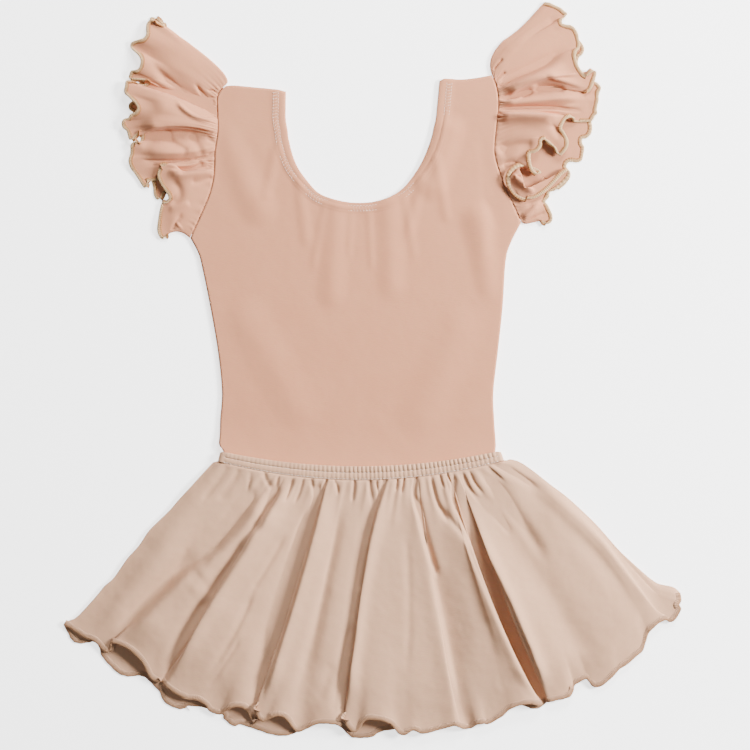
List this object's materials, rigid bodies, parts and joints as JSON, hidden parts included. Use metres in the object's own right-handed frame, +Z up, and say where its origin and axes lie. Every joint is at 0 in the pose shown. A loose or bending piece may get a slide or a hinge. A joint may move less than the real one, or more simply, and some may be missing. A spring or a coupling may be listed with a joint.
{
  "type": "short-sleeve leotard with gathered skirt",
  "caption": "Toddler's leotard with short flutter sleeves, a deep scoop neck and a gathered skirt on an elastic waistband, laid flat on its back.",
  "frame": {"origin": "centre of the bounding box in X and Y, on the surface that the garment rests on", "axes": "+Z up from the surface, +Y towards the neck, +X towards the picture's right"},
  "size_m": [0.4931, 0.5874, 0.0143],
  "materials": {
    "cotton_jersey_pink": "matt cotton jersey in pale peach pink",
    "cotton_jersey_beige": "matt cotton jersey in pale beige pink"
  },
  "bodies": {
    "root": {"leotard_back": "cotton_jersey_pink", "leotard_front": "cotton_jersey_pink", "sleeve_left": "cotton_jersey_pink", "sleeve_right": "cotton_jersey_pink", "waistband": "cotton_jersey_beige", "skirt_back": "cotton_jersey_beige", "skirt_front": "cotton_jersey_beige"}
  },
  "joints": []
}
